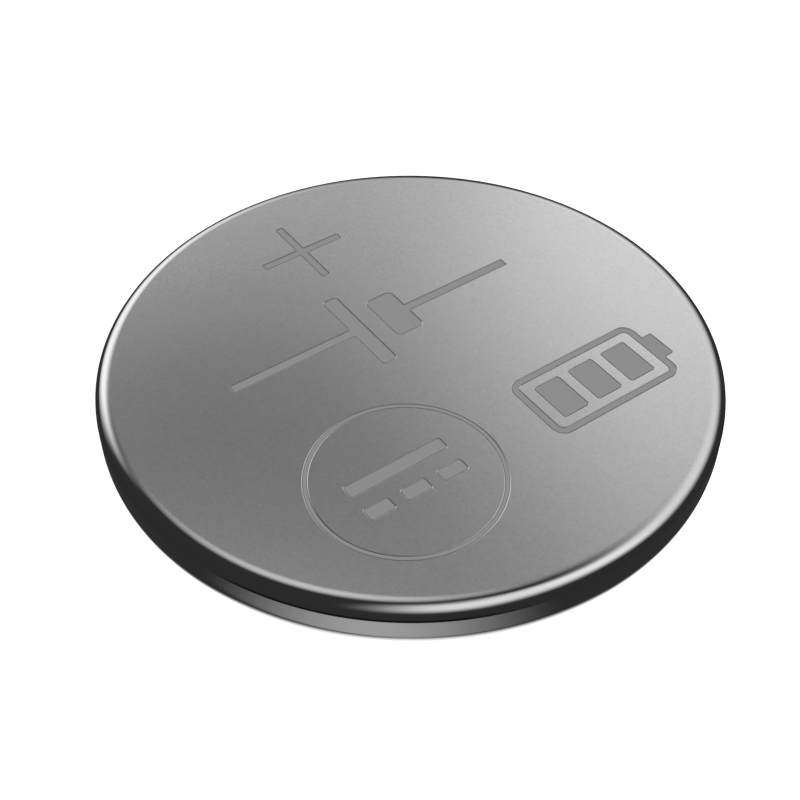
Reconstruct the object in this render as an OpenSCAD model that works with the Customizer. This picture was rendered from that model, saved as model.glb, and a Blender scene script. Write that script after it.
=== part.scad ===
// Coin cell, 20 mm across and 2.5 mm high, closed by rolling the can's edge
// over a plastic gasket. The negative cap's face lies on z = 0 and the marked
// positive face is at the top.

/* [Cell] */
// Diameter over the can's wall
cell_d = 20; // [20:0.1:20.6]
// Height from the negative face to the positive face
cell_h = 2.5; // [2.4:0.05:2.6]

/* [Positive can] */
// Sheet thickness of the can
can_t = 0.25; // [0.22:0.01:0.27]
// Outside radius of the edge round the positive face
edge_r = 0.5; // [0.45:0.01:0.55]
// Outside radius of the edge that is rolled in over the gasket
roll_r = 1.15; // [1.05:0.01:1.2]
// Height of the rolled edge above the negative face
roll_z = 0.23; // [0.18:0.01:0.25]
// Flat lip of the rolled edge, inside its radius
lip_w = 0.2; // [0.15:0.01:0.25]

/* [Negative cap] */
// Sheet thickness of the cap
cap_t = 0.25; // [0.22:0.01:0.27]
// Diameter of the cap's side wall, outside
cap_d = 16.4; // [16.2:0.1:16.6]
// Outside radius of the edge round the negative face
cap_edge_r = 0.45; // [0.4:0.01:0.45]
// Height of the underside of the cap's brim
brim_z = 0.6; // [0.58:0.01:0.62]
// Diameter over the cap's upturned rim
rim_d = 18.8; // [18.7:0.05:18.9]
// Height of the free edge of that rim
rim_top = 1.9; // [1.8:0.05:1.95]

/* [Gasket] */
// Inside diameter of the gasket
gasket_id = 17.2; // [17.1:0.05:17.3]
// Height of the gasket's visible lip above the negative face
gasket_lip_z = 0.3; // [0.25:0.01:0.35]

/* [Electrodes] */
// Diameter of the lithium disc
lithium_d = 14.4; // [13.6:0.2:14.8]
// Diameter of the separator
separator_d = 17; // [16.8:0.05:17]
// Thickness of the separator
separator_t = 0.12; // [0.1:0.01:0.15]
// Diameter of the pressed cathode pellet
pellet_d = 15.8; // [15.2:0.1:16]
// Sheet thickness of the ring round the pellet
ring_t = 0.15; // [0.1:0.01:0.2]
// Inside diameter of the ring's flange
ring_id = 13.2; // [12:0.1:14]

/* [Marks] */
// Depth of the marks in the positive face
mark_depth = 0.01; // [0.01:0.005:0.06]
// Direction in which the marks read, from +X
mark_angle = 36; // [0:1:90]
// Length of the plus sign's bars
plus_l = 3.06; // [2:0.02:3.4]
// Width of the plus sign's bars
plus_w = 0.29; // [0.15:0.01:0.5]
// Outside diameter of the round mark
round_d = 6.1; // [4:0.02:6.2]
// Line width of the round mark
round_w = 0.17; // [0.1:0.01:0.4]

/* [Hidden] */
$fn = 192;

R = cell_d / 2;                  // outside of the wall
Ri = R - can_t;                  // inside of the wall
floor_z = cell_h - can_t;        // inside of the positive face
edge_z = cell_h - edge_r;        // lower end of the face's rounded edge
roll_x = R - roll_r;             // centre of the rolled edge's radius
roll_cz = roll_z + roll_r;
mouth_r = roll_x - lip_w;        // opening left by the rolled lip

cap_r = cap_d / 2;
bend_r = 0.1;                    // bend where the cap's wall meets its brim
brim_top = brim_z + cap_t;
rim_r = rim_d / 2;
rim_bend = 0.5;                  // outside radius where the brim turns up
rim_x = rim_r - rim_bend;
rim_cz = brim_z + rim_bend;

separator_z = brim_top;
pellet_z = separator_z + separator_t;
ring_r = pellet_d / 2 + ring_t;

// ---- flat outlines, radius along x and height along y

// a bent strip: a quarter of a ring of outside radius ro about [x, z]
module bend(x, z, ro, t, sx, sz) {
    translate([x, z]) intersection() {
        difference() {
            circle(r = ro);
            circle(r = ro - t);
        }
        translate([sx > 0 ? 0 : -ro, sz > 0 ? 0 : -ro]) square(ro);
    }
}

// everything inside the can's outer surface
module can_outside() {
    translate([0, edge_z]) square([R - edge_r, edge_r]);
    translate([R - edge_r, edge_z]) circle(r = edge_r);
    translate([0, roll_cz]) square([R, edge_z - roll_cz]);
    translate([roll_x, roll_cz]) circle(r = roll_r);
    translate([0, roll_z]) square([roll_x, roll_r]);
}

// the room inside the can, with its mouth
module can_inside() {
    ir = edge_r - can_t;
    translate([0, floor_z - ir]) square([Ri - ir, ir]);
    translate([Ri - ir, floor_z - ir]) circle(r = ir);
    translate([0, roll_cz]) square([Ri, floor_z - ir - roll_cz]);
    translate([roll_x, roll_cz]) circle(r = roll_r - can_t);
    translate([0, roll_z + can_t]) square([roll_x, roll_r - can_t]);
    translate([0, roll_z - 1]) square([mouth_r, 1 + 2 * can_t]);
}

// the cap's bent sheet
module cap_section() {
    square([cap_r - cap_edge_r, cap_t]);
    bend(cap_r - cap_edge_r, cap_edge_r, cap_edge_r, cap_t, 1, -1);
    translate([cap_r - cap_t, cap_edge_r])
        square([cap_t, brim_z - bend_r - cap_edge_r]);
    bend(cap_r + bend_r, brim_z - bend_r, bend_r + cap_t, cap_t, -1, 1);
    translate([cap_r + bend_r, brim_z]) square([rim_x - cap_r - bend_r, cap_t]);
    bend(rim_x, rim_cz, rim_bend, cap_t, 1, -1);
    translate([rim_r - cap_t, rim_cz]) square([cap_t, rim_top - rim_cz]);
}

// the cap's sheet and all the room on its inner side
module cap_filled() {
    cap_section();
    square([cap_r - cap_edge_r, cell_h]);
    translate([0, cap_edge_r]) square([cap_r, cell_h]);
    translate([0, brim_z]) square([rim_x, cell_h]);
    translate([rim_x, rim_cz]) circle(r = rim_bend);
    translate([0, rim_cz]) square([rim_r, cell_h]);
}

// the gasket fills the gap between can and cap, and holds the rim in a slot
module gasket_section() {
    difference() {
        intersection() {
            can_inside();
            union() {
                translate([cap_r, gasket_lip_z])
                    square([Ri - cap_r, rim_cz - gasket_lip_z]);
                translate([rim_r, rim_cz]) square([Ri - rim_r, floor_z - rim_cz]);
            }
        }
        cap_filled();
    }
    intersection() {
        can_inside();
        difference() {
            translate([gasket_id / 2, rim_cz])
                square([Ri - gasket_id / 2, floor_z - rim_cz]);
            translate([rim_r - cap_t, 0]) square([cap_t, rim_top]);
        }
    }
}

// ---- marks, drawn flat about the middle of the positive face

module slab(w, h, r) {
    square([w - 2 * r, h], center = true);
    square([w, h - 2 * r], center = true);
    for (x = [-1, 1], y = [-1, 1])
        translate([x * (w / 2 - r), y * (h / 2 - r)]) circle(r = r);
}

// plus sign of the positive pole
module plus_mark() {
    square([plus_l, plus_w], center = true);
    square([plus_w, plus_l], center = true);
}

// circuit symbol of a cell: long thin plate, short thick plate, two leads
module cell_mark() {
    translate([-0.65, 0]) slab(0.56, 3.6, 0.14);
    translate([0.75, 0]) slab(1.04, 2, 0.2);
    translate([-3.17, 0]) square([4.5, 0.34], center = true);
    translate([3.3, 0]) square([4.1, 0.34], center = true);
}

// round mark with the symbol of direct current in it
module round_mark() {
    difference() {
        circle(d = round_d);
        circle(d = round_d - 2 * round_w);
    }
    translate([0, 0.52]) slab(3.5, 0.5, 0.1);
    for (x = [-1.3, 0, 1.3]) translate([x, -0.52]) slab(0.9, 0.5, 0.1);
}

// charge gauge: a case with a stud at one end and three bars inside
module gauge_mark() {
    difference() {
        slab(5, 2.7, 0.45);
        slab(4.48, 2.18, 0.2);
    }
    translate([2.56, 0]) slab(0.6, 1.1, 0.08);
    for (x = [-1.36, 0, 1.36]) translate([x, 0]) slab(1, 1.54, 0.1);
}

module marks() {
    rotate([0, 0, mark_angle]) {
        translate([0, 6.42]) plus_mark();
        translate([0, 1.95]) cell_mark();
        translate([-3.14, -4.16]) round_mark();
        translate([4.1, -4.2]) gauge_mark();
    }
}

// ---- the pieces

// deep-drawn steel can with the marks in its face
module positive_can() {
    color([0.60, 0.60, 0.60])
    difference() {
        rotate_extrude() difference() {
            can_outside();
            can_inside();
        }
        translate([0, 0, cell_h - mark_depth])
            linear_extrude(height = mark_depth + 1) marks();
    }
}

// moulded plastic ring between can and cap
module gasket() {
    color([0.20, 0.20, 0.21]) rotate_extrude() gasket_section();
}

// steel cap of the negative side
module negative_cap() {
    color([0.66, 0.66, 0.66]) rotate_extrude() cap_section();
}

// thin steel ring that holds the pellet and touches the can
module cathode_ring() {
    color([0.55, 0.55, 0.56]) rotate_extrude() {
        translate([pellet_d / 2, pellet_z + ring_t])
            square([ring_t, floor_z - pellet_z - ring_t]);
        translate([ring_id / 2, floor_z - ring_t])
            square([ring_r - ring_id / 2, ring_t]);
    }
}

// pressed black pellet, with a shallow boss inside the ring's flange
module cathode_pellet() {
    color([0.09, 0.09, 0.10]) {
        translate([0, 0, pellet_z])
            cylinder(d = pellet_d, h = floor_z - ring_t - pellet_z);
        translate([0, 0, pellet_z])
            cylinder(d = ring_id, h = floor_z - pellet_z);
    }
}

// porous sheet between the electrodes
module separator() {
    color([0.93, 0.93, 0.91])
        translate([0, 0, separator_z]) cylinder(d = separator_d, h = separator_t);
}

// soft metal disc pressed into the cap
module lithium_disc() {
    color([0.78, 0.78, 0.76])
        translate([0, 0, cap_t]) cylinder(d = lithium_d, h = separator_z - cap_t);
}

positive_can();
gasket();
negative_cap();
cathode_ring();
cathode_pellet();
separator();
lithium_disc();
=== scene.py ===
import math

import bpy
import numpy as np
from mathutils import Matrix, Vector
from mathutils.geometry import delaunay_2d_cdt


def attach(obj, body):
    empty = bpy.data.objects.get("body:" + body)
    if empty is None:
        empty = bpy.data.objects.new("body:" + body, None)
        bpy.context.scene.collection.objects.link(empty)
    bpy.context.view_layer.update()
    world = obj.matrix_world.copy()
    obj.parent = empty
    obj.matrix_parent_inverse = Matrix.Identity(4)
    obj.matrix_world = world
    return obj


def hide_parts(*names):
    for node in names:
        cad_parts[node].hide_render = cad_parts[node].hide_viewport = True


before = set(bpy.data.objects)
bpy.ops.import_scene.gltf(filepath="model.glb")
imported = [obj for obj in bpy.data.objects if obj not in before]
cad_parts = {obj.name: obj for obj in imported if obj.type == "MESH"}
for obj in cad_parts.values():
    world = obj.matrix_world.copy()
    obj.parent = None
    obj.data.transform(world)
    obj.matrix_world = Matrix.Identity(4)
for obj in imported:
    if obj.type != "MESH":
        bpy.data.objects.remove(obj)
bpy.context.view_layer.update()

MM = 0.001
SEG = 384                       # steps round the axis
scene = bpy.context.scene
scene.view_settings.view_transform = "Standard"
scene.view_settings.look = "None"
scene.view_settings.exposure = 0.0
scene.view_settings.gamma = 1.0


# ------------------------------------------------------------------ camera
CAM = Vector((0.0, -31.515, 32.241)) * MM
AIM = Vector((-0.308, -2.004, 2.493)) * MM
cam_data = bpy.data.cameras.new("camera")
cam = bpy.data.objects.new("camera", cam_data)
scene.collection.objects.link(cam)
cam_data.sensor_fit = "HORIZONTAL"
cam_data.sensor_width = 36.0
cam_data.lens = 61.11
cam_data.clip_start = 0.001
cam_data.clip_end = 5.0
cam.location = CAM
cam.rotation_mode = "QUATERNION"
cam.rotation_quaternion = (AIM - CAM).to_track_quat("-Z", "Y")
scene.camera = cam


# ------------------------------------------------------------------ node helpers
class Tree:
    """Short names for building a node tree."""

    def __init__(self, tree):
        self.t = tree
        self.n = tree.nodes
        self.n.clear()

    def node(self, kind, **props):
        made = self.n.new(kind)
        for k, v in props.items():
            setattr(made, k, v)
        return made

    def put(self, socket, value):
        if isinstance(value, bpy.types.NodeSocket):
            self.t.links.new(value, socket)
        elif value is not None:
            socket.default_value = value

    def math(self, op, a, b=None, c=None, clamp=False):
        m = self.node("ShaderNodeMath", operation=op, use_clamp=clamp)
        for s, v in zip(m.inputs, (a, b, c)):
            self.put(s, v)
        return m.outputs[0]

    def ramp(self, v, lo, hi, a=0.0, b=1.0, kind="SMOOTHSTEP"):
        m = self.node("ShaderNodeMapRange", interpolation_type=kind)
        for s, x in zip(m.inputs, (v, lo, hi, a, b)):
            self.put(s, x)
        return m.outputs[0]

    def noise(self, vec, scale, detail=2.0, rough=0.5, out=0):
        m = self.node("ShaderNodeTexNoise")
        self.put(m.inputs["Vector"], vec)
        m.inputs["Scale"].default_value = scale
        m.inputs["Detail"].default_value = detail
        m.inputs["Roughness"].default_value = rough
        return m.outputs[out]

    def vec(self, x, y, z):
        m = self.node("ShaderNodeCombineXYZ")
        for s, v in zip(m.inputs, (x, y, z)):
            self.put(s, v)
        return m.outputs[0]

    def split(self, v):
        m = self.node("ShaderNodeSeparateXYZ")
        self.put(m.inputs[0], v)
        return m.outputs

    def grey(self, v):
        m = self.node("ShaderNodeCombineColor")
        for s in m.inputs:
            self.put(s, v)
        return m.outputs[0]

    def curve(self, v, points, lo, hi):
        """A smooth curve through (position, value) points, for v from lo to hi."""
        m = self.node("ShaderNodeFloatCurve")
        ys = [y for _, y in points]
        y0, y1 = min(ys), max(ys)
        c = m.mapping.curves[0]
        pts = [((x - lo) / (hi - lo), (y - y0) / (y1 - y0)) for x, y in points]
        c.points[0].location = pts[0]
        c.points[1].location = pts[-1]
        for q in pts[1:-1]:
            c.points.new(*q)
        m.mapping.update()
        self.put(m.inputs["Value"], self.ramp(v, lo, hi, 0.0, 1.0, "LINEAR"))
        return self.ramp(m.outputs[0], 0.0, 1.0, y0, y1, "LINEAR")

    def window(self, v, lo, hi, soft_lo, soft_hi=None):
        """1 between lo and hi, with soft ends centred on them."""
        soft_hi = soft_lo if soft_hi is None else soft_hi
        up = self.ramp(v, self.off(lo, -soft_lo), self.off(lo, soft_lo))
        down = self.ramp(v, self.off(hi, -soft_hi), self.off(hi, soft_hi), 1.0, 0.0)
        return self.math("MULTIPLY", up, down)

    def off(self, v, k):
        return self.math("ADD", v, k) if isinstance(v, bpy.types.NodeSocket) else v + k

    def mix(self, f, a, b):
        m = self.node("ShaderNodeMix", data_type="RGBA")
        self.put(m.inputs[0], f)
        self.put(m.inputs[6], a)
        self.put(m.inputs[7], b)
        return m.outputs[2]

    def bump(self, height, strength, distance, normal=None):
        m = self.node("ShaderNodeBump")
        m.inputs["Strength"].default_value = strength
        m.inputs["Distance"].default_value = distance
        self.put(m.inputs["Height"], height)
        if normal is not None:
            self.put(m.inputs["Normal"], normal)
        return m.outputs[0]


def material(name):
    mat = bpy.data.materials.new(name)
    mat.use_nodes = True
    t = Tree(mat.node_tree)
    out = t.node("ShaderNodeOutputMaterial")
    bsdf = t.node("ShaderNodeBsdfPrincipled")
    t.t.links.new(bsdf.outputs[0], out.inputs[0])
    co = t.node("ShaderNodeTexCoord").outputs["Object"]
    return mat, t, bsdf, co


def grey(v, tint=(1.0, 1.0, 1.0)):
    return (v * tint[0], v * tint[1], v * tint[2], 1.0)


# ------------------------------------------------------------------ materials
def can_steel():
    """Satin steel: fine grain on the face, polished round the edge and wall."""
    mat, t, bsdf, co = material("can_satin_steel")
    x, y, z = t.split(co)
    rad = t.math("SQRT", t.math("ADD", t.math("MULTIPLY", x, x), t.math("MULTIPLY", y, y)))
    grain = t.noise(co, 21000.0, 2.0, 0.6)
    blotch = t.noise(co, 900.0, 3.0, 0.55)
    edge = t.ramp(rad, 0.00942, 0.00962)          # 0 on the flat face, 1 on edge and wall
    satin = t.math("SUBTRACT", 1.0, edge)
    mottle = t.noise(co, 9000.0, 2.0, 0.5)
    fine = t.math("MULTIPLY", t.math("SUBTRACT", grain, 0.5), satin)
    rough = t.math("ADD", 0.085, t.math("MULTIPLY", satin, 0.095))
    rough = t.math("ADD", rough, t.math("MULTIPLY", fine, 0.05))
    rough = t.math("ADD", rough, t.math("MULTIPLY", t.math("SUBTRACT", blotch, 0.5), 0.01))
    t.put(bsdf.inputs["Roughness"], rough)
    base = t.math("ADD", 0.60, t.math("MULTIPLY", fine, 0.20))
    base = t.math("ADD", base, t.math("MULTIPLY", t.math("MULTIPLY", t.math("SUBTRACT", mottle, 0.5), satin), 0.09))
    base = t.math("ADD", base, t.math("MULTIPLY", t.math("SUBTRACT", blotch, 0.5), 0.008))
    t.put(bsdf.inputs["Base Color"], t.grey(base))
    # the satin face also scatters some light evenly
    t.put(bsdf.inputs["Metallic"], t.ramp(rad, 0.00947, 0.00968, 0.73, 1.0))
    # faint draw lines run round the wall
    turn = t.math("ARCTAN2", y, x)
    lines = t.noise(t.vec(t.math("MULTIPLY", turn, 0.0006), z, rad), 26000.0, 2.0, 0.5)
    h = t.math("ADD", t.math("MULTIPLY", t.math("MULTIPLY", grain, satin), 0.7), t.math("MULTIPLY", t.math("MULTIPLY", lines, edge), 0.1))
    t.put(bsdf.inputs["Normal"], t.bump(h, 0.05, 0.00002))
    return mat


def mark_floor():
    """Floor of a mark: etched matt, so it shows one even tone from anywhere."""
    mat, t, bsdf, co = material("mark_floor_steel")
    grain = t.noise(co, 26000.0, 3.0, 0.6)
    t.put(bsdf.inputs["Base Color"], t.grey(t.math("ADD", 0.54, t.math("MULTIPLY", t.math("SUBTRACT", grain, 0.5), 0.04))))
    bsdf.inputs["Metallic"].default_value = 0.6
    t.put(bsdf.inputs["Roughness"], t.math("ADD", 0.66, t.math("MULTIPLY", grain, 0.1)))
    t.put(bsdf.inputs["Normal"], t.bump(grain, 0.1, 0.00002))
    return mat


def mark_edge():
    """Corner at the foot of a mark's wall, coloured darker than the mark's floor."""
    mat, t, bsdf, co = material("mark_edge_steel")
    grain = t.noise(co, 30000.0, 3.0, 0.6)
    t.put(bsdf.inputs["Base Color"], t.grey(t.math("ADD", 0.22, t.math("MULTIPLY", t.math("SUBTRACT", grain, 0.5), 0.1))))
    bsdf.inputs["Metallic"].default_value = 0.6
    t.put(bsdf.inputs["Roughness"], t.math("ADD", 0.66, t.math("MULTIPLY", grain, 0.1)))
    t.put(bsdf.inputs["Normal"], t.bump(grain, 0.1, 0.00002))
    return mat


def mark_wall():
    """Rounded wall of a mark: steel as smooth as the face, so it catches light or dark by its slope."""
    mat, t, bsdf, co = material("mark_wall_steel")
    grain = t.noise(co, 24000.0, 2.0, 0.6)
    t.put(bsdf.inputs["Base Color"], t.grey(t.math("ADD", 0.52, t.math("MULTIPLY", t.math("SUBTRACT", grain, 0.5), 0.10))))
    bsdf.inputs["Metallic"].default_value = 0.95
    t.put(bsdf.inputs["Roughness"], t.math("ADD", 0.17, t.math("MULTIPLY", grain, 0.08)))
    t.put(bsdf.inputs["Normal"], t.bump(grain, 0.08, 0.00002))
    return mat


def cap_steel(name="cap_satin_steel", base0=0.64, rough0=0.26, ring_scale=5200.0, ring_amount=0.5):
    """Pressed steel with faint turned rings and a fine grain."""
    mat, t, bsdf, co = material(name)
    x, y, z = t.split(co)
    rad = t.math("SQRT", t.math("ADD", t.math("MULTIPLY", x, x), t.math("MULTIPLY", y, y)))
    rings = t.noise(t.vec(rad, 0.0, t.math("MULTIPLY", z, 0.5)), ring_scale, 3.0, 0.6)
    grain = t.noise(co, 21000.0, 2.0, 0.6)
    blotch = t.noise(co, 700.0, 3.0, 0.55)
    rough = t.math("ADD", rough0, t.math("MULTIPLY", t.math("SUBTRACT", grain, 0.5), 0.10))
    rough = t.math("ADD", rough, t.math("MULTIPLY", t.math("SUBTRACT", rings, 0.5), 0.10))
    t.put(bsdf.inputs["Roughness"], rough)
    base = t.math("ADD", base0, t.math("MULTIPLY", t.math("SUBTRACT", blotch, 0.5), 0.05))
    base = t.math("ADD", base, t.math("MULTIPLY", t.math("SUBTRACT", grain, 0.5), 0.05))
    t.put(bsdf.inputs["Base Color"], t.grey(base))
    bsdf.inputs["Metallic"].default_value = 1.0
    h = t.math("ADD", t.math("MULTIPLY", rings, ring_amount), t.math("MULTIPLY", grain, 0.5))
    t.put(bsdf.inputs["Normal"], t.bump(h, 0.12, 0.00002))
    return mat


def gasket_plastic():
    mat, t, bsdf, co = material("gasket_polypropylene")
    cloud = t.noise(co, 2500.0, 3.0, 0.6)
    fine = t.noise(co, 16000.0, 2.0, 0.5)
    t.put(bsdf.inputs["Base Color"], t.mix(cloud, grey(0.018), grey(0.045, (1.0, 1.0, 1.05))))
    t.put(bsdf.inputs["Roughness"], t.math("ADD", 0.34, t.math("MULTIPLY", fine, 0.18)))
    t.put(bsdf.inputs["Normal"], t.bump(fine, 0.2, 0.00001))
    return mat


def cathode_black():
    mat, t, bsdf, co = material("cathode_pressed_powder")
    grit = t.noise(co, 9000.0, 4.0, 0.7)
    spots = t.noise(co, 2600.0, 2.0, 0.5)
    t.put(bsdf.inputs["Base Color"], t.mix(t.ramp(grit, 0.35, 0.72), grey(0.006), grey(0.05)))
    t.put(bsdf.inputs["Roughness"], t.math("ADD", 0.55, t.math("MULTIPLY", spots, 0.3)))
    t.put(bsdf.inputs["Normal"], t.bump(grit, 0.5, 0.00003))
    return mat


def separator_felt():
    mat, t, bsdf, co = material("separator_felt")
    x, y, z = t.split(co)
    fib = t.noise(t.vec(t.math("MULTIPLY", x, 0.18), y, z), 14000.0, 3.0, 0.6)
    fib2 = t.noise(t.vec(x, t.math("MULTIPLY", y, 0.18), z), 14000.0, 3.0, 0.6)
    web = t.math("MAXIMUM", fib, fib2)
    t.put(bsdf.inputs["Base Color"], t.mix(t.ramp(web, 0.4, 0.75), grey(0.66, (1, 0.99, 0.95)), grey(0.86, (1, 1, 0.98))))
    t.put(bsdf.inputs["Roughness"], t.math("ADD", 0.75, t.math("MULTIPLY", web, 0.15)))
    t.put(bsdf.inputs["Normal"], t.bump(web, 0.5, 0.00002))
    return mat


def lithium_metal():
    mat, t, bsdf, co = material("lithium_soft_metal")
    x, y, z = t.split(co)
    rolled = t.noise(t.vec(t.math("MULTIPLY", x, 0.06), y, z), 7000.0, 3.0, 0.6)
    dull = t.noise(co, 650.0, 4.0, 0.6)
    t.put(bsdf.inputs["Base Color"], t.mix(t.ramp(dull, 0.4, 0.7), grey(0.74, (1, 1, 0.97)), grey(0.42, (1.0, 0.98, 0.92))))
    bsdf.inputs["Metallic"].default_value = 1.0
    t.put(bsdf.inputs["Roughness"], t.math("ADD", 0.3, t.math("MULTIPLY", t.math("ADD", rolled, dull), 0.18)))
    t.put(bsdf.inputs["Normal"], t.bump(rolled, 0.25, 0.00002))
    return mat


# ------------------------------------------------------------------ meshes
class Turned:
    """A closed surface, mostly turned about Z, with the true normal at each corner."""

    def __init__(self):
        self.v, self.f, self.n, self.m = [], [], [], []
        a = np.arange(SEG) * (2 * math.pi / SEG)
        self.cs = np.stack([np.cos(a), np.sin(a)], 1)
        self.rings = {}

    def ring(self, r, z):
        key = (round(r, 6), round(z, 6))
        if key not in self.rings:
            i = len(self.v)
            if r < 1e-9:
                self.v.append((0.0, 0.0, z))
                self.rings[key] = np.full(SEG, i)
            else:
                self.v += [(r * c, r * s, z) for c, s in self.cs]
                self.rings[key] = np.arange(i, i + SEG)
        return self.rings[key]

    def band(self, p, q, np_, nq, mat=0):
        """Quads from point p to point q of the outline; the outside is on the left of p to q turned right."""
        a, b = self.ring(*p), self.ring(*q)
        for j in range(SEG):
            k = (j + 1) % SEG
            cj, ck = self.cs[j], self.cs[k]
            quad = [(a[j], np_, cj), (b[j], nq, cj), (b[k], nq, ck), (a[k], np_, ck)]
            if p[0] < 1e-9:
                quad = quad[:3]
            if q[0] < 1e-9:
                quad = [quad[0], quad[1], quad[3]]
            self.f.append([int(i) for i, _, _ in quad])
            self.n += [(n[0] * c[0], n[0] * c[1], n[1]) for _, n, c in quad]
            self.m.append(mat)

    def path(self, steps, mat=0):
        for pts, nrm, *own in steps:
            for i in range(len(pts) - 1):
                self.band(pts[i], pts[i + 1], nrm[i], nrm[i + 1], own[0] if own else mat)

    def done(self, name, mats):
        me = bpy.data.meshes.new(name)
        me.from_pydata((np.array(self.v) * MM).tolist(), [], self.f)
        for mat in mats:
            me.materials.append(mat)
        me.polygons.foreach_set("material_index", self.m)
        me.polygons.foreach_set("use_smooth", [True] * len(self.f))
        me.update()
        me.normals_split_custom_set(self.n)
        obj = bpy.data.objects.new(name, me)
        scene.collection.objects.link(obj)
        return obj


def line(*pts):
    """Straight steps of an outline, each with its own outward normal."""
    out = []
    for p, q in zip(pts, pts[1:]):
        d = (q[0] - p[0], q[1] - p[1])
        l = math.hypot(*d)
        n = (-d[1] / l, d[0] / l)
        out.append(([p, q], [n, n]))
    return out


def arc(cx, cz, r, a0, a1, n, side=1):
    """A rounded step of an outline, from angle a0 to a1 in degrees."""
    a = np.radians(np.linspace(a0, a1, n + 1))
    pts = [(round(cx + r * math.cos(t), 7), round(cz + r * math.sin(t), 7)) for t in a]
    nrm = [(side * math.cos(t), side * math.sin(t)) for t in a]
    return [(pts, nrm)]


def eased(cx, cz, r, lead, n):
    """A rounded edge from its top to its side that starts gently, lead before the true radius."""
    w = np.radians(np.linspace(0, 90, n + 1))
    pts, nrm = [], []
    for t in w:
        g = math.atan((r + lead) / r * math.tan(t)) if t < 1.5 else t
        k = min(1.0, max(0.0, (math.degrees(t) - 8.0) / 24.0))
        k = 1.0 - k * k * (3.0 - 2.0 * k)
        x = k * (cx - lead + (r + lead) * math.sin(g)) + (1.0 - k) * (cx + r * math.sin(t))
        z = k * (cz + r * math.cos(g)) + (1.0 - k) * (cz + r * math.cos(t))
        pts.append((round(x, 7), round(z, 7)))
        nrm.append((math.sin(t), math.cos(t)))
    return [(pts, nrm)]


# ---- outlines of the marks, drawn about their own middles, in millimetres
def inset(pts, d):
    """Moves each side of a closed outline, drawn anticlockwise, inwards by d."""
    p = np.array(pts, float)
    e = np.roll(p, -1, 0) - p
    e /= np.linalg.norm(e, axis=1)[:, None]
    nrm = np.stack([-e[:, 1], e[:, 0]], 1)
    out = []
    for i in range(len(p)):
        n0, n1 = nrm[i - 1], nrm[i]
        k = 1 + n0 @ n1
        out.append(p[i] + (n0 + n1) * (d / k))
    return np.array(out)


def rounded(pts, radii, steps=7):
    """Rounds the corners of a closed outline; a radius of 0 leaves a corner sharp."""
    p = np.array(pts, float)
    out = []
    for i in range(len(p)):
        a, b, c = p[i - 1], p[i], p[(i + 1) % len(p)]
        r = radii[i]
        if r <= 1e-6:
            out.append(tuple(b))
            continue
        u, w = (a - b) / np.linalg.norm(a - b), (c - b) / np.linalg.norm(c - b)
        half = math.acos(max(-1.0, min(1.0, float(u @ w)))) / 2
        t = r / math.tan(half)
        s, e = b + u * t, b + w * t
        m = b + (u + w) / np.linalg.norm(u + w) * (r / math.sin(half))
        a0 = math.atan2(*(s - m)[::-1])
        a1 = math.atan2(*(e - m)[::-1])
        da = (a1 - a0 + math.pi) % (2 * math.pi) - math.pi
        for k in range(steps + 1):
            g = a0 + da * k / steps
            out.append((m[0] + r * math.cos(g), m[1] + r * math.sin(g)))
    return out


def outline_set(pts, radius, outward=False):
    """Outer limit, upper edge, lower edge and inner limit of a mark's dark edge, for an anticlockwise outline."""
    p = np.array(pts, float)
    e = np.roll(p, -1, 0) - p
    convex = [e[i - 1][0] * e[i][1] - e[i - 1][1] * e[i][0] > 0 for i in range(len(p))]
    rad = radius if isinstance(radius, (list, tuple)) else [radius] * len(p)
    made = []
    for run in (-RIM, 0.0, SLOPE, LIP):
        d = -run if outward else run
        made.append(rounded(inset(p, d), [max(r - d, 0.003) if c else max(r + d, 0.003) for r, c in zip(rad, convex)]))
    return made


def box(w, h, x=0.0, y=0.0):
    return [(x - w / 2, y - h / 2), (x + w / 2, y - h / 2), (x + w / 2, y + h / 2), (x - w / 2, y + h / 2)]


def circle(r, n=160):
    return [(r * math.cos(2 * math.pi * i / n), r * math.sin(2 * math.pi * i / n)) for i in range(n)]


RIM = 0.010                     # how far the rounding of a mark's edge reaches out onto the face
SLOPE = 0.013                   # how far its wall reaches in
LIP = 0.031                     # how far the dark corner reaches in
DEPTH = 0.01                    # depth of the marks
DROP = (0.0, 0.0035, DEPTH, DEPTH)
TURN = math.radians(36.0)


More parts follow.
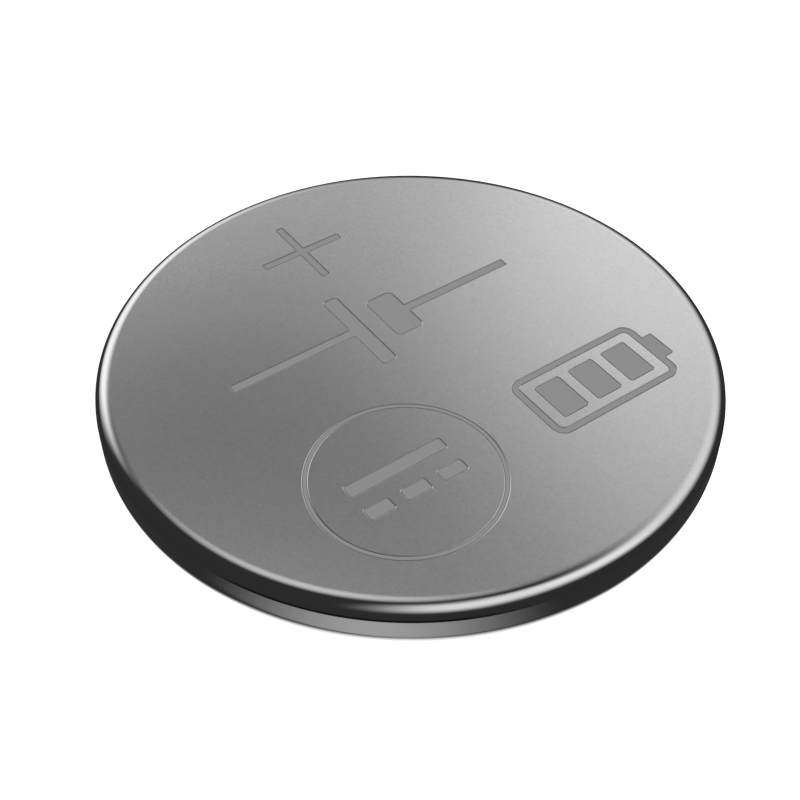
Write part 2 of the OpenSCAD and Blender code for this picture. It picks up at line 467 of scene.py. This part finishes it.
def mark_loops():
    """Every mark's loops in the frame of the face: outer limit, upper edge, lower edge, corner."""
    made = []

    def add(pair, u, v):
        c, s = math.cos(TURN), math.sin(TURN)
        made.append([[(c * (x + u) - s * (y + v), s * (x + u) + c * (y + v)) for x, y in loop] for loop in pair])

    a, b = 1.53, 0.145
    plus = [(-b, -a), (b, -a), (b, -b), (a, -b), (a, b), (b, b), (b, a), (-b, a), (-b, b), (-a, b), (-a, -b), (-b, -b)]
    add(outline_set(plus, 0.02), 0.0, 6.42)

    # circuit symbol of a cell
    l = 0.17
    left = [(-5.42, -l), (-0.93, -l), (-0.93, -1.8), (-0.37, -1.8), (-0.37, 1.8), (-0.93, 1.8), (-0.93, l), (-5.42, l)]
    add(outline_set(left, [0.02, 0.03, 0.14, 0.14, 0.14, 0.14, 0.03, 0.02]), 0.0, 1.95)
    right = [(5.35, l), (1.27, l), (1.27, 1.0), (0.23, 1.0), (0.23, -1.0), (1.27, -1.0), (1.27, -l), (5.35, -l)]
    add(outline_set(right, [0.02, 0.03, 0.2, 0.2, 0.2, 0.2, 0.03, 0.02]), 0.0, 1.95)

    # round mark with the symbol of direct current
    add([circle(3.05 - d) for d in (-RIM, 0.0, SLOPE, LIP)], -3.14, -4.16)
    add([circle(2.88 + d) for d in (-RIM, 0.0, SLOPE, LIP)], -3.14, -4.16)
    add(outline_set(box(3.5, 0.5, 0, 0.52), 0.1), -3.14, -4.16)
    for x in (-1.3, 0.0, 1.3):
        add(outline_set(box(0.9, 0.5, x, -0.52), 0.1), -3.14, -4.16)

    # charge gauge
    case = [(-2.5, -1.35), (2.5, -1.35), (2.5, -0.55), (2.86, -0.55), (2.86, 0.55), (2.5, 0.55), (2.5, 1.35), (-2.5, 1.35)]
    add(outline_set(case, [0.45, 0.45, 0.02, 0.08, 0.08, 0.02, 0.45, 0.45]), 4.1, -4.2)
    add(outline_set(box(4.48, 2.18), 0.2, outward=True), 4.1, -4.2)
    for x in (-1.36, 0.0, 1.36):
        add(outline_set(box(1.0, 1.54, x), 0.1), 4.1, -4.2)
    return made


def face_with_marks(t, r, z, steel, floor, corner, wall):
    """The flat face inside ring r, with the sloped walls and floors of the marks."""
    rim = t.ring(r, z)
    pts = [Vector(t.v[i][:2]) for i in rim]
    level = [0] * SEG
    edges = [(j, (j + 1) % SEG) for j in range(SEG)]
    for loops in mark_loops():
        for lv, loop in enumerate(loops):
            i = len(pts)
            pts += [Vector(p) for p in loop]
            level += [lv] * len(loop)
            edges += [(i + k, i + (k + 1) % len(loop)) for k in range(len(loop))]
    out_v, _, out_f, orig, _, _ = delaunay_2d_cdt(pts, edges, [], 1, 1e-6)
    index, lvl = [], []
    for k, p in enumerate(out_v):
        src = orig[k][0]
        lvl.append(level[src])
        if src < SEG:
            index.append(int(rim[src]))
        else:
            index.append(len(t.v))
            t.v.append((p[0], p[1], z - DROP[level[src]]))
    for tri in out_f:
        ids = [index[k] for k in tri]
        lv = [lvl[k] for k in tri]
        p = np.array([t.v[i] for i in ids])
        n = np.cross(p[1] - p[0], p[2] - p[0])
        if n[2] < 0:
            ids, n = ids[::-1], -n
        n = n / np.linalg.norm(n)
        kind = steel if max(lv) == 0 else floor if min(lv) == 3 else corner if min(lv) == 2 else wall
        t.f.append(ids)
        t.n += [tuple(n)] * 3
        t.m.append(kind)


def positive_can():
    t = Turned()
    t.ring(9.45, 2.5)
    face_with_marks(t, 9.45, 2.5, 0, 1, 2, 3)
    t.path(eased(9.5, 2.0, 0.5, 0.05, 36))
    t.path(line((10.0, 2.0), (10.0, 1.79), (10.0, 1.58), (10.0, 1.38)))
    t.path(arc(8.85, 1.38, 1.15, 0, -90, 34))
    t.path(line((8.85, 0.23), (8.69, 0.23)) + arc(8.69, 0.27, 0.04, -90, -180, 5)
           + line((8.65, 0.27), (8.65, 0.44)) + arc(8.69, 0.44, 0.04, 180, 90, 5)
           + line((8.69, 0.48), (8.85, 0.48)) + arc(8.85, 1.38, 0.9, -90, 0, 14, -1)
           + line((9.75, 1.38), (9.75, 2.0)) + arc(9.5, 2.0, 0.25, 0, 90, 8, -1)
           + line((9.5, 2.25), (4.7, 2.25), (0.0, 2.25)))
    return t.done("can_shell", [can_steel(), mark_floor(), mark_edge(), mark_wall()])


def negative_cap():
    t = Turned()
    t.path(line((0.0, 0.25), (4.0, 0.25), (7.75, 0.25)) + arc(7.75, 0.45, 0.2, -90, 0, 8, -1)
           + line((7.95, 0.45), (7.95, 0.5)) + arc(8.3, 0.5, 0.35, 180, 90, 10)
           + line((8.3, 0.85), (8.9, 0.85)) + arc(8.9, 1.1, 0.25, -90, 0, 8, -1)
           + line((9.15, 1.1), (9.15, 1.87)) + arc(9.18, 1.87, 0.03, 180, 90, 4)
           + line((9.18, 1.9), (9.37, 1.9)) + arc(9.37, 1.87, 0.03, 90, 0, 4)
           + line((9.4, 1.87), (9.4, 1.1)) + arc(8.9, 1.1, 0.5, 0, -90, 14)
           + line((8.9, 0.6), (8.3, 0.6)) + arc(8.3, 0.5, 0.1, 90, 180, 8, -1)
           + line((8.2, 0.5), (8.2, 0.45)) + arc(7.75, 0.45, 0.45, 0, -90, 20)
           + line((7.75, 0.0), (4.0, 0.0), (0.0, 0.0)))
    return t.done("cap_shell", [cap_steel()])


def gasket():
    t = Turned()
    t.path(line((8.6, 2.25), (9.5, 2.25)) + arc(9.5, 2.0, 0.25, 90, 0, 8)
           + line((9.75, 2.0), (9.75, 1.38)) + arc(8.85, 1.38, 0.9, 0, -90, 14)
           + line((8.85, 0.48), (8.65, 0.48), (8.65, 0.34)) + arc(8.61, 0.34, 0.04, 0, -90, 5)
           + line((8.61, 0.3), (8.24, 0.3)) + arc(8.24, 0.34, 0.04, -90, -180, 5)
           + line((8.2, 0.34), (8.2, 0.5)) + arc(8.3, 0.5, 0.1, 180, 90, 6)
           + line((8.3, 0.6), (8.9, 0.6)) + arc(8.9, 1.1, 0.5, -90, 0, 12, -1)
           + line((9.4, 1.1), (9.4, 1.9), (9.15, 1.9), (9.15, 1.1), (8.6, 1.1), (8.6, 2.25)))
    return t.done("gasket_ring", [gasket_plastic()])


can = positive_can()
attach(can, "root")
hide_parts("positive_can")

cap = negative_cap()
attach(cap, "root")
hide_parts("negative_cap")

seal = gasket()
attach(seal, "root")
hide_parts("gasket")

# the sealed pieces keep their true CAD shapes and get real finishes
for node, mat in (
    ("cathode_ring", cap_steel("ring_bare_steel", 0.55, 0.3, 3500.0, 0.3)),
    ("cathode_pellet", cathode_black()),
    ("separator", separator_felt()),
    ("lithium_disc", lithium_metal()),
):
    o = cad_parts[node]
    o.data.materials.clear()
    o.data.materials.append(mat)


# ------------------------------------------------------------------ stage
def sheet(name, z, size):
    me = bpy.data.meshes.new(name)
    me.from_pydata([(-size, -size, z), (size, -size, z), (size, size, z), (-size, size, z)], [], [(0, 1, 2, 3)])
    obj = bpy.data.objects.new(name, me)
    scene.collection.objects.link(obj)
    mat = bpy.data.materials.new(name)
    mat.use_nodes = True
    me.materials.append(mat)
    return obj, Tree(mat.node_tree)


def floor_stage():
    """Pale floor, clear from below so that the underside can be seen through it."""
    obj, t = sheet("floor", 0.0, 2.0)
    out = t.node("ShaderNodeOutputMaterial")
    diff = t.node("ShaderNodeBsdfDiffuse")
    diff.inputs["Color"].default_value = grey(0.9)
    glow = t.node("ShaderNodeEmission")
    glow.inputs["Color"].default_value = grey(1.0)
    glow.inputs["Strength"].default_value = 0.88
    add = t.node("ShaderNodeAddShader")
    t.put(add.inputs[0], diff.outputs[0])
    t.put(add.inputs[1], glow.outputs[0])
    clear = t.node("ShaderNodeBsdfTransparent")
    back = t.node("ShaderNodeNewGeometry").outputs["Backfacing"]
    mix = t.node("ShaderNodeMixShader")
    t.put(mix.inputs[0], back)
    t.put(mix.inputs[1], add.outputs[0])
    t.put(mix.inputs[2], clear.outputs[0])
    t.put(out.inputs[0], mix.outputs[0])
    obj.visible_glossy = False
    obj.visible_shadow = False


def floor_glow():
    """What the polished steel sees of the ground: bright close under the can, dark further out."""
    obj, t = sheet("floor_glow", 0.00001, 2.0)
    out = t.node("ShaderNodeOutputMaterial")
    x, y, _ = t.split(t.node("ShaderNodeTexCoord").outputs["Object"])
    r = t.math("SQRT", t.math("ADD", t.math("MULTIPLY", x, x), t.math("MULTIPLY", y, y)))
    r = t.math("MULTIPLY", r, 1000.0)
    a = t.math("MULTIPLY", t.math("ARCTAN2", x, y), 180.0 / math.pi)
    side = t.math("ABSOLUTE", a)                                     # 0 behind, 180 in front
    a360 = t.math("MODULO", t.math("ADD", a, 360.0), 360.0)
    front = t.math("ABSOLUTE", t.math("SUBTRACT", a360, 186.0))
    # bright ground under the rolled edge
    r0 = t.curve(side, [(0, 9.6), (90, 9.7), (135, 9.95), (152, 10.25), (180, 10.52)], 0.0, 180.0)
    near = t.math("MULTIPLY", t.ramp(r, t.off(r0, -0.45), t.off(r0, 0.45), 1.62, 0.0), t.ramp(r, 9.2, 9.7, 0.45, 1.0))
    # a paler strip in front of the wall, cut off short
    strip = t.math("MULTIPLY", t.ramp(front, 0.0, 36.0, 0.50, 0.0), t.window(r, 10.84, 11.52, 0.08, 0.05))
    rear = t.math("MULTIPLY", t.ramp(side, 20.0, 60.0, 0.15, 0.0), t.window(r, 10.8, 11.8, 0.3, 0.1))
    # darkest beyond it
    dark = t.math("MULTIPLY", t.window(a360, 162.0, 217.0, 9.0, 4.0), t.window(r, 11.5, 13.3, 0.04, 0.8))
    dark2 = t.math("MULTIPLY", t.window(a360, 45.0, 100.0, 12.0), t.window(r, 11.2, 13.0, 0.3, 0.8))
    base = t.math("SUBTRACT", 0.037, t.math("MULTIPLY", t.math("MAXIMUM", dark, dark2), 0.029))
    total = t.math("ADD", t.math("ADD", near, strip), t.math("ADD", rear, base))
    glow = t.node("ShaderNodeEmission")
    glow.inputs["Color"].default_value = grey(1.0)
    t.put(glow.inputs["Strength"], total)
    clear = t.node("ShaderNodeBsdfTransparent")
    back = t.node("ShaderNodeNewGeometry").outputs["Backfacing"]
    mix = t.node("ShaderNodeMixShader")
    t.put(mix.inputs[0], back)
    t.put(mix.inputs[1], glow.outputs[0])
    t.put(mix.inputs[2], clear.outputs[0])
    t.put(out.inputs[0], mix.outputs[0])
    for side_name in ("visible_camera", "visible_diffuse", "visible_transmission", "visible_volume_scatter", "visible_shadow"):
        setattr(obj, side_name, False)


def studio():
    """Soft boxes in a dark studio, by direction: a is the bearing from +Y towards +X, e the elevation."""
    world = bpy.data.worlds.new("studio")
    scene.world = world
    world.use_nodes = True
    t = Tree(world.node_tree)
    out = t.node("ShaderNodeOutputWorld")
    d = t.node("ShaderNodeTexCoord").outputs["Generated"]
    nrm = t.node("ShaderNodeVectorMath", operation="NORMALIZE")
    t.put(nrm.inputs[0], d)
    x, y, z = t.split(nrm.outputs[0])
    deg = 180.0 / math.pi
    a = t.math("MULTIPLY", t.math("ARCTAN2", x, y), deg)            # -180 .. 180
    e = t.math("MULTIPLY", t.math("ARCSINE", z), deg)               # -90 .. 90
    a300 = t.math("SUBTRACT", t.math("MODULO", t.math("ADD", a, 420.0), 360.0), 60.0)   # -60 .. 300

    def lobe(az, el, inner, outer):
        az, el = math.radians(az), math.radians(el)
        c = Vector((math.sin(az) * math.cos(el), math.cos(az) * math.cos(el), math.sin(el)))
        dot = t.node("ShaderNodeVectorMath", operation="DOT_PRODUCT")
        t.put(dot.inputs[0], nrm.outputs[0])
        dot.inputs[1].default_value = c
        ang = t.math("MULTIPLY", t.math("ARCCOSINE", t.math("MINIMUM", dot.outputs["Value"], 1.0)), deg)
        return t.ramp(ang, inner, outer, 1.0, 0.0)

    def lit(k, w):
        return t.math("MULTIPLY", w, k)

    # key box, behind and to the left
    key = lit(1.47, t.math("MULTIPLY", t.window(a, -58.8, -10.8, 13.4), t.window(e, 5.2, 37.1, 16.3, 9.1)))
    # long box down the right side, taller towards the front
    top = t.curve(a300, [(-60, 12), (-8, 34.1), (6, 42.3), (20, 50.3), (40, 55.9), (60, 56.6), (90, 61.6), (130, 70.5), (155, 70.4), (180, 70.7), (300, 60.5)], -60.0, 300.0)
    bot = t.curve(a300, [(-60, 24), (-8, 30.5), (5, 26.3), (20, 16.3), (50, 18.1), (85, 18.5), (110, 24.3), (140, 30.0), (165, 27.6), (180, 28.4), (300, 28.1)], -60.0, 300.0)
    power = t.curve(a300, [(-60, 1.1), (0, 1.54), (30, 1.0), (60, 0.98), (85, 1.01), (108, 1.21), (140, 1.08), (160, 1.06), (180, 1.0), (300, 0.89)], -60.0, 300.0)
    right = t.math("MULTIPLY", power, t.math("MULTIPLY", t.window(a300, -13.3, 185.2, 22.7, 19.9), t.window(e, bot, top, 16.6, 14.3)))
    # overhead box, a little behind and to the left
    over = lit(0.88, lobe(-25.8, 69.6, 2.5, 27.6))
    # faint spill to the left, between the key and the overhead box
    spill = lit(0.12, lobe(-50.0, 44.0, 2.0, 11.0))
    # soft light from below, which only the underside sees
    below = t.math("ADD", lit(0.85, lobe(25.0, -45.0, 5.0, 75.0)), lit(0.45, lobe(-140.0, -30.0, 5.0, 60.0)))
    below = t.math("MULTIPLY", below, t.ramp(e, -14.0, -3.0, 1.0, 0.0))
    total = t.math("ADD", t.math("ADD", key, right), t.math("ADD", t.math("ADD", t.math("ADD", over, spill), below), 0.039))
    glow = t.node("ShaderNodeBackground")
    t.put(glow.inputs["Strength"], total)
    glow.inputs["Color"].default_value = grey(1.0)
    plain = t.node("ShaderNodeBackground")
    plain.inputs["Color"].default_value = grey(1.0)
    plain.inputs["Strength"].default_value = 1.05
    path = t.node("ShaderNodeLightPath")
    mix = t.node("ShaderNodeMixShader")
    t.put(mix.inputs[0], path.outputs["Is Camera Ray"])
    t.put(mix.inputs[1], glow.outputs[0])
    t.put(mix.inputs[2], plain.outputs[0])
    t.put(out.inputs[0], mix.outputs[0])


floor_stage()
floor_glow()
studio()
